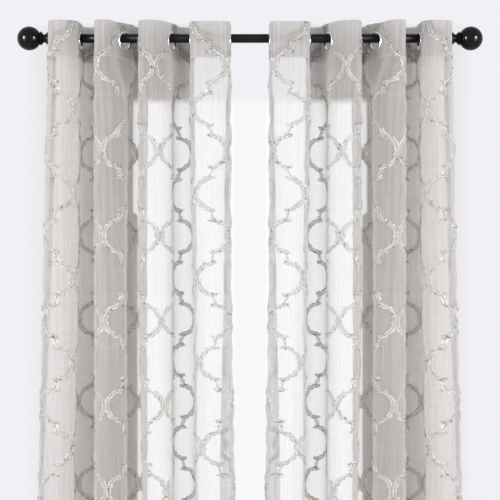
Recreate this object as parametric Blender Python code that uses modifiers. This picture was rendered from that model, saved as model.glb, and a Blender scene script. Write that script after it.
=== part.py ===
"""Sheer voile curtain pair, hung by eyelet rings from a round rod with ball finials.

Metres, +Z up. The origin is on the rod's axis, halfway along it. The rod runs along X, the room side is -Y.
Each panel hangs in four front folds and three back folds between its eight eyelets, with both side edges
turned back behind the outer folds. The right panel mirrors the left one.
"""
import math
from collections import namedtuple

import bmesh
import bpy
import numpy as np
from mathutils import Matrix, Vector

# ---- driving dimensions ----
ROD_DIAMETER = 0.0254
ROD_LENGTH = 1.150
JOINT_GAP = 0.0003

PANEL_WIDTH = 1.372          # flat, edge to edge
PANEL_DROP = 2.134           # flat, top edge to bottom edge
TOP_HEIGHT = 0.043           # top edge above the rod's axis
HEADING_DEPTH = 0.103
BOTTOM_HEM = 0.090
CLOTH_THICKNESS = 0.0016
HEM_THICKNESS = 0.0024       # heading band, side edges and bottom hem, where the cloth is folded over
HEM_STEP = 0.0006            # height of the slope between the two thicknesses

EYELET_COUNT = 8
EYELET_MARGIN = 0.042        # side edge to the first eyelet
RING_BORE_RADIUS = 0.022
RING_OUTER_RADIUS = 0.028
RING_GROOVE_RADIUS = 0.0244
RING_THICKNESS = 0.0070
RING_CROWN_RADIUS = 0.0240    # where the flanges are thickest
RING_RIM_RADIUS = 0.0268      # where they start to turn over
RING_RIM_DROP = 0.0005        # how much lower they are there
CLOTH_HOLE_RADIUS = 0.0250
HOLE_CUT_DEPTH = 0.012

BALL_RADIUS = 0.0342
BALL_STEPS = 10
COLLAR_RADIUS = 0.0186
COLLAR_WIDTH = 0.0030
WAIST_RADIUS = 0.0115
WAIST_LENGTH = 0.0190
WAIST_STEPS = 6
FLANGE_RADIUS = 0.0200
FLANGE_WIDTH = 0.0021
GROOVE_RADIUS = 0.0165
GROOVE_WIDTH = 0.0019

ROD_SIDES = 32
FINIAL_STEPS = 20
RING_STEPS = 16
HOLE_SIDES = 24
SPAN_STEPS = 8               # facets of cloth between two eyelet legs
SOLVE_STEPS = 72             # finer steps on which a fold's curve is worked out
SOLVE_ROUNDS = 40
SOLVE_MISS = 1e-9
SOLVE_NUDGE = 1e-5
SOLVE_MOST_CHANGE = 0.4      # radians in one round
SHARP_ANGLE = math.radians(50)
MERGE_DISTANCE = 0.00001

# ---- how the left panel hangs ----
# A row for each height. The cloth crosses the rod's plane eight times, at its eyelets in the heading band.
# leg is half of the stretch that hangs straight at each crossing, in metres. slip is how far the crossings
# have moved along the cloth towards its first edge, in metres, because the folds lean as they fall.
# places is where the crossings are, in millimetres from the rod's middle. leans is the cloth's angle to the
# rod there, in degrees: 90 is square to it, more leans back over the fold. flaps is how far the free edges,
# first and last, curl in behind the outer folds, in degrees.
Section = namedtuple("Section", "height leg slip places leans flaps")
RING_PLACES = (-569, -485, -439, -358, -312, -224, -169, -57)
RING_LEANS = (97, 87, 88, 52, 97, 68, 91, 89)
SECTIONS = (
    Section(TOP_HEIGHT, 0.0282, 0.0, RING_PLACES, RING_LEANS, (40, 30)),
    Section(TOP_HEIGHT - HEADING_DEPTH, 0.0282, 0.0, RING_PLACES, RING_LEANS, (40, 30)),
    Section(-0.180, 0.0160, 0.003,
            (-573, -487, -441, -349, -310, -223, -167, -56), (100, 92, 96, 88, 108, 90, 100, 94), (40, 50)),
    Section(-0.750, 0.0080, 0.010,
            (-586, -493, -441, -356, -307, -221, -158, -55), (98, 98, 100, 112, 114, 98, 102, 100), (50, 45)),
    Section(-1.290, 0.0080, 0.020,
            (-602, -505, -443, -353, -301, -222, -155, -48), (90, 100, 94, 108, 102, 100, 98, 106), (99, 80)),
    Section(-2.091, 0.0080, 0.024,
            (-608, -509, -446, -355, -299, -220, -151, -45), (90, 98, 94, 106, 100, 98, 98, 104), (100, 75)),
)
EDGE_CURL_POWER = 1.5        # a free edge's curl gathers towards the edge
BEND_SHARPNESS = 0.2         # how much of a fold's deep bend is drawn towards its two legs
# Heights of the rows of points between the heading band and the bottom hem.
BODY_ROWS = (-0.115, -0.180, -0.460, -0.750, -1.020, -1.290, -1.690)

EYELET_PITCH = (PANEL_WIDTH - 2 * EYELET_MARGIN) / (EYELET_COUNT - 1)


# ---- shared helpers ----
def material(name, colour, roughness, metallic):
    made = bpy.data.materials.new(name)
    made.use_nodes = True
    shader = made.node_tree.nodes["Principled BSDF"]
    shader.inputs["Base Color"].default_value = (*colour, 1.0)
    shader.inputs["Roughness"].default_value = roughness
    shader.inputs["Metallic"].default_value = metallic
    return made


def add_object(name, mesh, collection, finish=None):
    made = bpy.data.objects.new(name, mesh)
    collection.objects.link(made)
    if finish:
        mesh.materials.append(finish)
    return made


def finished_mesh(name, form):
    mesh = bpy.data.meshes.new(name)
    form.to_mesh(mesh)
    form.free()
    mesh.shade_smooth()
    mesh.set_sharp_from_angle(angle=SHARP_ANGLE)
    return mesh


def turned(name, profile, steps, collection, finish):
    """A turned piece about its own Z axis; the profile runs down its outer side."""
    mesh = bpy.data.meshes.new(name)
    points = [(radius, 0.0, height) for radius, height in profile]
    count = len(points)
    closed = profile[0][0] > 0.0
    edges = [(i, (i + 1) % count) for i in range(count if closed else count - 1)]
    mesh.from_pydata(points, edges, [])
    made = add_object(name, mesh, collection, finish)
    screw = made.modifiers.new("turn", "SCREW")
    screw.axis = "Z"
    screw.steps = screw.render_steps = steps
    screw.use_merge_vertices = True
    screw.merge_threshold = MERGE_DISTANCE
    screw.use_smooth_shade = True
    return made


# ---- the folds ----
def blend(values, height):
    """Smooth value at a height, from the values that the sections give from the top edge down."""
    values = np.asarray(values, dtype=float)
    drops = np.array([-row.height for row in SECTIONS])
    drop = float(np.clip(-height, drops[0], drops[-1]))
    i = int(np.clip(np.searchsorted(drops, drop, side="right") - 1, 0, len(drops) - 2))
    # The heading band is straight, so nothing changes there and the slopes start from zero below it.
    slopes = [np.zeros_like(values[0])] * 2
    for k in range(2, len(drops) - 1):
        slopes.append((values[k + 1] - values[k - 1]) / (drops[k + 1] - drops[k - 1]))
    slopes.append((values[-1] - values[-2]) / (drops[-1] - drops[-2]))
    run = drops[i + 1] - drops[i]
    t = (drop - drops[i]) / run
    return ((2 * t**3 - 3 * t**2 + 1) * values[i] + (t**3 - 2 * t**2 + t) * run * slopes[i]
            + (3 * t**2 - 2 * t**3) * values[i + 1] + (t**3 - t**2) * run * slopes[i + 1])


def section_at(height):
    leg = float(blend([row.leg for row in SECTIONS], height))
    slip = float(blend([row.slip for row in SECTIONS], height))
    places = blend([row.places for row in SECTIONS], height) / 1000.0
    leans = np.radians(blend([row.leans for row in SECTIONS], height))
    flaps = np.radians(blend([row.flaps for row in SECTIONS], height))
    return leg, slip, places, leans, flaps


def walk(start, headings, step):
    """Points reached by equal steps along the given headings; a positive heading turns to the room."""
    middle = 0.5 * (headings[1:] + headings[:-1])
    x = start[0] + np.concatenate(([0.0], np.cumsum(np.cos(middle)))) * step
    y = start[1] - np.concatenate(([0.0], np.cumsum(np.sin(middle)))) * step
    return x, y


def span(start, start_heading, end, end_heading, length):
    """The cloth between two eyelet legs: a curve of the given length whose heading turns smoothly.

    Its heading is an even turn plus two bends, solved so that the curve ends where the next leg starts.
    """
    t = np.linspace(0.0, 1.0, SOLVE_STEPS + 1)
    turn = start_heading + (end_heading - start_heading) * t
    side_bend = np.sin(np.pi * t) ** 2
    deep_bend = np.sin(2 * np.pi * t) + BEND_SHARPNESS * np.sin(4 * np.pi * t)
    step = length / SOLVE_STEPS
    amounts = np.zeros(2)

    def miss(amounts):
        x, y = walk(start, turn + amounts[0] * side_bend + amounts[1] * deep_bend, step)
        return np.array((x[-1] - end[0], y[-1] - end[1]))

    for _ in range(SOLVE_ROUNDS):
        off = miss(amounts)
        if np.hypot(*off) < SOLVE_MISS:
            break
        nudged = [miss(amounts + SOLVE_NUDGE * unit) for unit in np.eye(2)]
        slope = np.column_stack([(moved - off) / SOLVE_NUDGE for moved in nudged])
        change = np.linalg.solve(slope, -off)
        amounts = amounts + change * min(1.0, SOLVE_MOST_CHANGE / np.hypot(*change))
    headings = turn + amounts[0] * side_bend + amounts[1] * deep_bend
    x, y = walk(start, headings, step)
    return x, y, headings


def free_edge(place, heading, leg, length, curl):
    """A side edge walked outwards from its leg: its length of cloth curls by the given angle."""
    t = np.linspace(0.0, 1.0, SOLVE_STEPS + 1)
    headings = heading + curl * t**EDGE_CURL_POWER
    start = (place + leg * math.cos(heading), -leg * math.sin(heading))
    x, y = walk(start, headings, length / SOLVE_STEPS)
    return x, y, headings


def fold_line(height, stations):
    """Plan of the left panel at a height: place and heading at each distance from its first edge."""
    leg, slip, places, leans, flaps = section_at(height)
    headings = [lean if i % 2 == 0 else -lean for i, lean in enumerate(leans)]
    last = EYELET_COUNT - 1
    first_free = EYELET_MARGIN - slip - leg
    last_free = EYELET_MARGIN + slip - leg
    between_legs = EYELET_PITCH - 2 * leg

    # The first edge is walked backwards from its leg, so its order and headings are turned round.
    x, y, away = free_edge(places[0], headings[0] - math.pi, leg, first_free, flaps[0])
    runs = [(np.linspace(0.0, first_free, len(x)), x[::-1], y[::-1], away[::-1] + math.pi)]
    for i in range(last):
        start = (places[i] + leg * math.cos(headings[i]), -leg * math.sin(headings[i]))
        end = (places[i + 1] - leg * math.cos(headings[i + 1]), leg * math.sin(headings[i + 1]))
        x, y, turned_to = span(start, headings[i], end, headings[i + 1], between_legs)
        first = first_free + 2 * leg + i * EYELET_PITCH
        runs.append((first + np.linspace(0.0, between_legs, len(x)), x, y, turned_to))
    x, y, away = free_edge(places[last], headings[last], leg, last_free, -flaps[1])
    runs.append((PANEL_WIDTH - np.linspace(last_free, 0.0, len(x)), x, y, away))

    along, xs, ys, turns = (np.concatenate(part) for part in zip(*runs))
    return np.interp(stations, along, xs), np.interp(stations, along, ys), np.interp(stations, along, turns)


def cloth_stations(height):
    """Distances from the first edge at which the cloth has points at a height: edges, legs and folds."""
    leg, slip = section_at(height)[:2]
    first_free = EYELET_MARGIN - slip - leg
    last_free = EYELET_MARGIN + slip - leg
    stations = [0.0, first_free / 2, first_free]
    for i in range(EYELET_COUNT - 1):
        first = first_free + 2 * leg + i * EYELET_PITCH
        stations += [first + k * (EYELET_PITCH - 2 * leg) / SPAN_STEPS for k in range(SPAN_STEPS + 1)]
    stations += [PANEL_WIDTH - last_free, PANEL_WIDTH - last_free / 2, PANEL_WIDTH]
    return np.array(stations)


def cloth_rows():
    """Height and thickness of each row of points, from the top edge down to the bottom edge."""
    heading_end = TOP_HEIGHT - HEADING_DEPTH
    bottom = TOP_HEIGHT - PANEL_DROP
    hem_start = bottom + BOTTOM_HEM
    rows = [(TOP_HEIGHT, HEM_THICKNESS), (heading_end, HEM_THICKNESS)]
    rows += [(heading_end - HEM_STEP, CLOTH_THICKNESS)]
    rows += [(height, CLOTH_THICKNESS) for height in BODY_ROWS]
    rows += [(hem_start + HEM_STEP, CLOTH_THICKNESS), (hem_start, HEM_THICKNESS), (bottom, HEM_THICKNESS)]
    return rows


# ---- eyelets ----
def ring_drop(lean):
    """How far a ring's centre hangs below the rod's axis: its bore rests a joint's gap above the rod.

    The ring's plane stands at the lean to the rod, so the rod crosses it as an ellipse.
    """
    room = RING_BORE_RADIUS * math.cos(math.pi / RING_STEPS) - JOINT_GAP
    half_bore = RING_THICKNESS / 4
    radius = ROD_DIAMETER / 2
    drops = []
    for degree in range(181):
        angle = math.radians(degree)
        across = abs(radius * math.cos(angle) / math.sin(lean)) + abs(half_bore / math.tan(lean))
        drops.append(math.sqrt(room**2 - across**2) - radius * math.sin(angle))
    return min(drops)


def eyelet_frames():
    """Centre and turn of each eyelet of the left panel, its own Z axis square to the cloth."""
    frames = []
    for i, (place, lean) in enumerate(zip(SECTIONS[0].places, SECTIONS[0].leans)):
        lean = math.radians(lean)
        heading = lean if i % 2 == 0 else -lean
        normal = Vector((math.sin(heading), math.cos(heading), 0.0))
        along = Vector((math.cos(heading), -math.sin(heading), 0.0))
        turn = Matrix((along, normal.cross(along), normal)).transposed()
        frames.append((Vector((place / 1000.0, 0.0, -ring_drop(lean))), turn.to_4x4()))
    return frames


def ring_profile():
    """Section of an eyelet ring: bore, two rounded flanges, and the groove that holds the cloth's edge."""
    groove = HEM_THICKNESS / 2 + JOINT_GAP
    face = RING_THICKNESS / 2
    rim_face = face - RING_RIM_DROP
    return [
        (RING_CROWN_RADIUS, face),
        (RING_RIM_RADIUS, rim_face),
        (RING_OUTER_RADIUS, groove),
        (RING_GROOVE_RADIUS, groove),
        (RING_GROOVE_RADIUS, -groove),
        (RING_OUTER_RADIUS, -groove),
        (RING_RIM_RADIUS, -rim_face),
        (RING_CROWN_RADIUS, -face),
        (RING_BORE_RADIUS, -face / 2),
        (RING_BORE_RADIUS, face / 2),
    ]


def placed(centre, turn, side):
    """World matrix of something on the left panel, or of its mirror image for side +1."""
    frame = Matrix.Translation(centre) @ turn
    if side < 0:
        return frame
    flip = Matrix.Scale(-1, 4, (1, 0, 0))
    return flip @ frame @ flip


# ---- pieces ----
def panel_mesh(name, side):
    """The hanging cloth as one closed solid: a front and a back sheet, joined along all four edges."""
    rows = cloth_rows()
    last_row, last_column = len(rows) - 1, len(cloth_stations(TOP_HEIGHT)) - 1
    form = bmesh.new()
    front, back = [], []
    for height, thickness in rows:
        stations = cloth_stations(height)
        thick = np.full(len(stations), thickness)
        thick[[0, last_column]] = HEM_THICKNESS
        xs, ys, turns = fold_line(height, stations)
        for sheet, half in ((front, -thick / 2), (back, thick / 2)):
            places = zip(-side * (xs + half * np.sin(turns)), ys + half * np.cos(turns))
            sheet.append([form.verts.new((x, y, height)) for x, y in places])
    for r in range(last_row):
        for c in range(last_column):
            form.faces.new((front[r][c], front[r + 1][c], front[r + 1][c + 1], front[r][c + 1]))
            form.faces.new((back[r][c], back[r][c + 1], back[r + 1][c + 1], back[r + 1][c]))
        for c in (0, last_column):
            form.faces.new((front[r][c], back[r][c], back[r + 1][c], front[r + 1][c]))
    for c in range(last_column):
        for r in (0, last_row):
            form.faces.new((front[r][c], front[r][c + 1], back[r][c + 1], back[r][c]))
    bmesh.ops.recalc_face_normals(form, faces=form.faces)
    return finished_mesh(name, form)


def build_panel(name, side, collection, cutters, finish):
    panel = add_object(name, panel_mesh(name, side), collection, finish)
    form = bmesh.new()
    for centre, turn in eyelet_frames():
        bmesh.ops.create_cone(
            form, cap_ends=True, segments=HOLE_SIDES, radius1=CLOTH_HOLE_RADIUS, radius2=CLOTH_HOLE_RADIUS,
            depth=HOLE_CUT_DEPTH, matrix=placed(centre, turn, side),
        )
    cutter = add_object(name + "_holes", finished_mesh(name + "_holes", form), cutters)
    cutter.hide_render = True
    cutter.display_type = "WIRE"
    cut = panel.modifiers.new("eyelet holes", "BOOLEAN")
    cut.operation = "DIFFERENCE"
    cut.object = cutter


def build_eyelets(panel_side, side, collection, finish):
    for number, (centre, turn) in enumerate(eyelet_frames(), start=1):
        ring = turned(f"eyelet_{panel_side}_{number}", ring_profile(), RING_STEPS, collection, finish)
        ring.matrix_world = placed(centre, turn, side)


def build_rod(collection, finish):
    form = bmesh.new()
    bmesh.ops.create_cone(
        form, cap_ends=True, segments=ROD_SIDES, radius1=ROD_DIAMETER / 2, radius2=ROD_DIAMETER / 2,
        depth=ROD_LENGTH, matrix=Matrix.Rotation(math.radians(90), 4, "Y"),
    )
    add_object("rod", finished_mesh("rod", form), collection, finish)


def finial_profile():
    """Outer side of a finial, from the ball's tip down to the face that meets the rod's end."""
    waist_start = COLLAR_WIDTH
    flange_start = waist_start + WAIST_LENGTH
    groove_start = flange_start + FLANGE_WIDTH
    ball_start = groove_start + GROOVE_WIDTH
    ball_centre = ball_start + math.sqrt(BALL_RADIUS**2 - GROOVE_RADIUS**2)
    ball_turn = math.pi - math.asin(GROOVE_RADIUS / BALL_RADIUS)
    points = []
    for k in range(BALL_STEPS + 1):
        angle = ball_turn * k / BALL_STEPS
        points.append((BALL_RADIUS * math.sin(angle), ball_centre + BALL_RADIUS * math.cos(angle)))
    points += [(GROOVE_RADIUS, groove_start), (FLANGE_RADIUS, groove_start)]
    for k in range(WAIST_STEPS + 1):
        t = k / WAIST_STEPS
        edge = FLANGE_RADIUS + (COLLAR_RADIUS - FLANGE_RADIUS) * t
        points.append((WAIST_RADIUS + (edge - WAIST_RADIUS) * math.cos(math.pi * t) ** 2,
                       flange_start - WAIST_LENGTH * t))
    return points + [(COLLAR_RADIUS, 0.0), (0.0, 0.0)]


def build_finials(collection, finish):
    for panel_side, side in (("left", -1), ("right", +1)):
        finial = turned(f"finial_{panel_side}", finial_profile(), FINIAL_STEPS, collection, finish)
        finial.location = (side * (ROD_LENGTH / 2 + JOINT_GAP), 0.0, 0.0)
        finial.rotation_euler = (0.0, side * math.radians(90), 0.0)


def main():
    for old in list(bpy.data.objects):
        bpy.data.objects.remove(old)
    scene = bpy.context.scene
    collection = bpy.data.collections.new("voile_curtain_pair")
    cutters = bpy.data.collections.new("cutters")
    scene.collection.children.link(collection)
    scene.collection.children.link(cutters)

    voile = material("voile", (0.72, 0.69, 0.67), 0.85, 0.0)
    nickel = material("nickel", (0.66, 0.66, 0.67), 0.25, 1.0)
    black_metal = material("black_metal", (0.012, 0.012, 0.014), 0.35, 0.6)

    build_rod(collection, black_metal)
    build_finials(collection, black_metal)
    for panel_side, side in (("left", -1), ("right", +1)):
        build_panel(f"curtain_{panel_side}", side, collection, cutters, voile)
        build_eyelets(panel_side, side, collection, nickel)


main()
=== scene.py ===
"""Looks of a pair of sheer voile curtains with a raised yarn trellis, hung by eyelets from a round black rod.

Metres, +Z up. The origin is on the rod's axis, halfway along it, and the front is -Y.
The right panel mirrors the left one, so the cloth is worked out on the left and flipped for the right.
"""
import math
from collections import namedtuple

import bpy
import numpy as np
from mathutils import Matrix, Vector


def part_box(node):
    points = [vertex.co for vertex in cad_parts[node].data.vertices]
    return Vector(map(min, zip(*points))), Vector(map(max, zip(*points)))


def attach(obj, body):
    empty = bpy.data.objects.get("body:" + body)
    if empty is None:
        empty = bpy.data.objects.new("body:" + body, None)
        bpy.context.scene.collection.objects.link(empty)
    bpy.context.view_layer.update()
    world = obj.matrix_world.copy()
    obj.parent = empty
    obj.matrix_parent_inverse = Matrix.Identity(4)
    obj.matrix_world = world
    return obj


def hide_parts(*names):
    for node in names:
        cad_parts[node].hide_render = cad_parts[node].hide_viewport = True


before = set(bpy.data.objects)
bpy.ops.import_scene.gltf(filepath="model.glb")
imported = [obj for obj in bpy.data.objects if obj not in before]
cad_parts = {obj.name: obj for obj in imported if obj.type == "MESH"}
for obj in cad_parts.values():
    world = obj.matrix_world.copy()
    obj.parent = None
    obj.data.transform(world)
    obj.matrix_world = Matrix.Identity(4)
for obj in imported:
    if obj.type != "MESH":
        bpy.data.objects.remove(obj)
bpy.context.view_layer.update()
bpy.ops.object.select_all(action="DESELECT")
scene = bpy.context.scene

# ---- camera: square to the rod, level with the middle of what shows of the cloth ----
VIEW_DISTANCE = 4.15         # in front of the rod
VIEW_HEIGHT = -0.605         # below the rod's axis
VIEW_WIDTH = 1.43            # what it takes in at the rod

bpy.ops.object.camera_add(location=(0.0, -VIEW_DISTANCE, VIEW_HEIGHT), rotation=(math.radians(90), 0.0, 0.0))
camera = bpy.context.object
camera.data.sensor_width = 36.0
camera.data.lens = 36.0 * VIEW_DISTANCE / VIEW_WIDTH
scene.camera = camera


# ---- voile panels ----
# Two cut lengths of sheer slub voile. The side hems are turned back first, then a 10 cm heading and a 9 cm
# bottom hem, and eight holes are punched through the heading for the eyelets. Each panel hangs in four front
# folds and three back folds, with both side edges turned in behind the outer folds.
SIDES = (("left", False), ("right", True))  # the right panel is mirrored
PANEL_WIDTH = 1.372          # finished, edge to edge
PANEL_DROP = 2.134           # finished, top edge to bottom edge
TOP_HEIGHT = 0.043           # top edge above the rod's axis
HEADING_DEPTH = 0.103
BOTTOM_HEM = 0.090
SIDE_HEM = 0.022
EYELET_COUNT = 8
EYELET_MARGIN = 0.042
EYELET_PITCH = (PANEL_WIDTH - 2 * EYELET_MARGIN) / (EYELET_COUNT - 1)
HOLE_RADIUS = 0.0250
FLANGE_RADIUS = 0.0280

FACE_SET = -0.0006           # the single cloth lies this far in front of the folds' own line
SIDE_HEM_SET = 0.0004        # and each turned-back layer this far behind that line
HEADING_SET = 0.0009
CORNER_SET = 0.0001

# A row for each height. The cloth crosses the rod's plane eight times, at its eyelets in the heading band.
# leg is half of the stretch that hangs straight at each crossing, in metres. slip is how far the crossings
# have moved along the cloth towards its first edge, in metres, because the folds lean as they fall.
# places is where the crossings are, in millimetres from the rod's middle. leans is the cloth's angle to the
# rod there, in degrees: 90 is square to it, more leans back over the fold. flaps is how far the free edges,
# first and last, curl in behind the outer folds, in degrees.
Section = namedtuple("Section", "height leg slip places leans flaps")
RING_PLACES = (-569, -485, -439, -358, -312, -224, -169, -57)
RING_LEANS = (97, 87, 88, 52, 97, 68, 91, 89)
SECTIONS = (
    Section(TOP_HEIGHT, 0.0282, 0.0, RING_PLACES, RING_LEANS, (40, 30)),
    Section(TOP_HEIGHT - HEADING_DEPTH, 0.0282, 0.0, RING_PLACES, RING_LEANS, (40, 30)),
    Section(-0.180, 0.0160, 0.003,
            (-573, -487, -441, -349, -310, -223, -167, -56), (100, 92, 96, 88, 108, 90, 100, 94), (40, 50)),
    Section(-0.750, 0.0080, 0.010,
            (-586, -493, -441, -356, -307, -221, -158, -55), (98, 98, 100, 112, 114, 98, 102, 100), (50, 45)),
    Section(-1.290, 0.0080, 0.020,
            (-602, -505, -443, -353, -301, -222, -155, -48), (90, 100, 94, 108, 102, 100, 98, 106), (99, 80)),
    Section(-2.091, 0.0080, 0.024,
            (-608, -509, -446, -355, -299, -220, -151, -45), (90, 98, 94, 106, 100, 98, 98, 104), (100, 75)),
)
EDGE_CURL_POWER = 1.5
BEND_SHARPNESS = 0.2
SOLVE_STEPS = 72
SOLVE_ROUNDS = 40
SOLVE_NUDGE = 1e-5
SOLVE_REACH = 0.4            # the most that a bend changes in one round
SOLVE_MISS = 1e-9

# Soft creases, in millimetres on the flat panel: where each starts across the cloth, how far it bows to the
# side on its way down, how wide and deep it is (minus is a trough to the back), and the drops of its ends.
Crease = namedtuple("Crease", "across drift width depth start end")
CREASES = [Crease(*row) for row in (
    (52, 6, 13, 1.6, 160, 2134), (88, -8, 11, -1.5, 260, 1500), (121, 10, 12, 1.6, 130, 1900),
    (160, -12, 14, -1.8, 300, 2134), (196, 8, 11, 1.2, 700, 2134), (247, -6, 13, 1.5, 140, 1300),
    (299, 9, 12, -1.5, 500, 2134), (345, 5, 10, 1.4, 130, 1100), (381, -7, 12, 1.9, 150, 2134),
    (409, 8, 10, -1.5, 420, 1700), (446, -9, 13, 1.7, 190, 2134), (512, 6, 12, 1.4, 160, 1400),
    (563, -10, 13, -1.7, 380, 2134), (611, 7, 11, 1.4, 600, 2134), (658, 8, 12, -1.4, 140, 1200),
    (706, -8, 12, 1.7, 240, 2134), (748, 9, 11, -1.3, 130, 1500), (803, -6, 13, 1.6, 520, 2134),
    (862, 7, 12, -1.6, 150, 1700), (914, -9, 12, 1.5, 300, 2134), (969, 6, 11, -1.4, 140, 1250),
    (1018, 8, 13, 1.7, 420, 2134), (1077, -8, 12, 1.5, 130, 1400), (1128, 7, 11, -1.5, 330, 2134),
    (1172, -7, 13, 1.7, 150, 1800), (1221, 9, 11, -1.3, 560, 2134), (1268, -5, 12, 1.4, 170, 1500),
    (1322, 6, 12, -1.4, 260, 2134),
)]
CREASE_FADE = 0.12           # length over which a crease dies away at its ends
CREASE_SHIFT = 0.4           # how much of its bow is left at its lower end

# Shallow waves that the trellis puckers into the voile: lengths across and down, phase, and height in mm.
PUCKERS = (
    (0.203, 0.120, 0.4, 0.9), (-0.145, 0.079, 1.9, 0.8), (0.113, 0.061, 3.3, 0.6), (-0.087, 0.047, 5.1, 0.45),
)
PUCKER_FADE = 0.05

ACROSS_STEP = 0.004
TURNED_STEP = ACROSS_STEP * 1.8
HEADING_STEP = 0.004
UPPER_STEP = 0.012           # down to UPPER_END, where the folds still change below the heading
UPPER_END = 0.36
DOWN_STEP = 0.022
EDGE_BEND = 0.0006           # half of the tight bend where an edge is turned back


def blend(values, height):
    """Smooth value at a height, from the values that the sections give from the top edge down."""
    values = np.asarray(values, dtype=float)
    drops = np.array([-row.height for row in SECTIONS])
    drop = float(np.clip(-height, drops[0], drops[-1]))
    i = int(np.clip(np.searchsorted(drops, drop, side="right") - 1, 0, len(drops) - 2))
    slopes = [np.zeros_like(values[0])] * 2
    for k in range(2, len(drops) - 1):
        slopes.append((values[k + 1] - values[k - 1]) / (drops[k + 1] - drops[k - 1]))
    slopes.append((values[-1] - values[-2]) / (drops[-1] - drops[-2]))
    run = drops[i + 1] - drops[i]
    t = (drop - drops[i]) / run
    return ((2 * t**3 - 3 * t**2 + 1) * values[i] + (t**3 - 2 * t**2 + t) * run * slopes[i]
            + (3 * t**2 - 2 * t**3) * values[i + 1] + (t**3 - t**2) * run * slopes[i + 1])


def walk(start, headings, step):
    """Points of a line that takes even steps from its start, each one at the mean of two headings."""
    middle = 0.5 * (headings[1:] + headings[:-1])
    x = start[0] + np.concatenate(([0.0], np.cumsum(np.cos(middle)))) * step
    y = start[1] - np.concatenate(([0.0], np.cumsum(np.sin(middle)))) * step
    return x, y


def span(start, start_heading, end, end_heading, length):
    """The cloth between two eyelet legs: an even turn plus two bends, solved to end at the next leg."""
    t = np.linspace(0.0, 1.0, SOLVE_STEPS + 1)
    turn = start_heading + (end_heading - start_heading) * t
    side_bend = np.sin(np.pi * t) ** 2
    deep_bend = np.sin(2 * np.pi * t) + BEND_SHARPNESS * np.sin(4 * np.pi * t)
    step = length / SOLVE_STEPS
    amounts = np.zeros(2)

    def miss(amounts):
        x, y = walk(start, turn + amounts[0] * side_bend + amounts[1] * deep_bend, step)
        return np.array((x[-1] - end[0], y[-1] - end[1]))

    for _ in range(SOLVE_ROUNDS):
        off = miss(amounts)
        if np.hypot(*off) < SOLVE_MISS:
            break
        nudged = [miss(amounts + SOLVE_NUDGE * unit) for unit in np.eye(2)]
        slope = np.column_stack([(moved - off) / SOLVE_NUDGE for moved in nudged])
        change = np.linalg.solve(slope, -off)
        amounts = amounts + change * min(1.0, SOLVE_REACH / np.hypot(*change))
    headings = turn + amounts[0] * side_bend + amounts[1] * deep_bend
    x, y = walk(start, headings, step)
    return x, y, headings


def free_edge(place, heading, leg, length, curl):
    """A side edge walked outwards from its leg: its length of cloth curls by the given angle."""
    t = np.linspace(0.0, 1.0, SOLVE_STEPS + 1)
    headings = heading + curl * t**EDGE_CURL_POWER
    start = (place + leg * math.cos(heading), -leg * math.sin(heading))
    x, y = walk(start, headings, length / SOLVE_STEPS)
    return x, y, headings


def fold_line(height, stations):
    """Plan of the left panel at a height: place and heading at each distance from its first edge."""
    leg = float(blend([row.leg for row in SECTIONS], height))
    slip = float(blend([row.slip for row in SECTIONS], height))
    places = blend([row.places for row in SECTIONS], height) / 1000.0
    leans = np.radians(blend([row.leans for row in SECTIONS], height))
    flaps = np.radians(blend([row.flaps for row in SECTIONS], height))
    headings = [lean if i % 2 == 0 else -lean for i, lean in enumerate(leans)]
    last = EYELET_COUNT - 1
    first_free = EYELET_MARGIN - slip - leg
    last_free = EYELET_MARGIN + slip - leg
    between_legs = EYELET_PITCH - 2 * leg

    # The first edge is walked backwards from its leg, so its order and headings are turned round.
    x, y, away = free_edge(places[0], headings[0] - math.pi, leg, first_free, flaps[0])
    runs = [(np.linspace(0.0, first_free, len(x)), x[::-1], y[::-1], away[::-1] + math.pi)]
    for i in range(last):
        start = (places[i] + leg * math.cos(headings[i]), -leg * math.sin(headings[i]))
        end = (places[i + 1] - leg * math.cos(headings[i + 1]), leg * math.sin(headings[i + 1]))
        x, y, turned_to = span(start, headings[i], end, headings[i + 1], between_legs)
        first = first_free + 2 * leg + i * EYELET_PITCH
        runs.append((first + np.linspace(0.0, between_legs, len(x)), x, y, turned_to))
    x, y, away = free_edge(places[last], headings[last], leg, last_free, -flaps[1])
    runs.append((PANEL_WIDTH - np.linspace(last_free, 0.0, len(x)), x, y, away))

    along, xs, ys, turns = (np.concatenate(part) for part in zip(*runs))
    return np.interp(stations, along, xs), np.interp(stations, along, ys), np.interp(stations, along, turns)


def crease_lift(across, drop):
    """How far the creases lift the cloth to the front, at points of the flat panel in metres."""
    lift = np.zeros_like(across)
    for c in CREASES:
        start, end = c.start / 1000, c.end / 1000
        t = np.clip((drop - start) / (end - start), 0.0, 1.0)
        middle = (c.across + c.drift * np.sin(math.pi * t) + CREASE_SHIFT * c.drift * t) / 1000
        rise = np.clip((drop - start) / CREASE_FADE, 0.0, 1.0)
        fall = np.clip((end - drop) / CREASE_FADE, 0.0, 1.0) if end < PANEL_DROP else 1.0
        strength = (rise * rise * (3 - 2 * rise)) * fall
        lift += strength * c.depth / 1000 * np.exp(-(((across - middle) / (c.width / 1000)) ** 2))
    # The bands draw the voile in a little, so that it puckers between them, but not in the stiff heading.
    below = np.clip((drop - HEADING_DEPTH) / PUCKER_FADE, 0.0, 1.0)
    for across_length, down_length, phase, height in PUCKERS:
        wave = 2 * math.pi * (across / across_length + drop / down_length) + phase
        lift += below * height / 1000 * np.sin(wave)
    return lift


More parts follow.
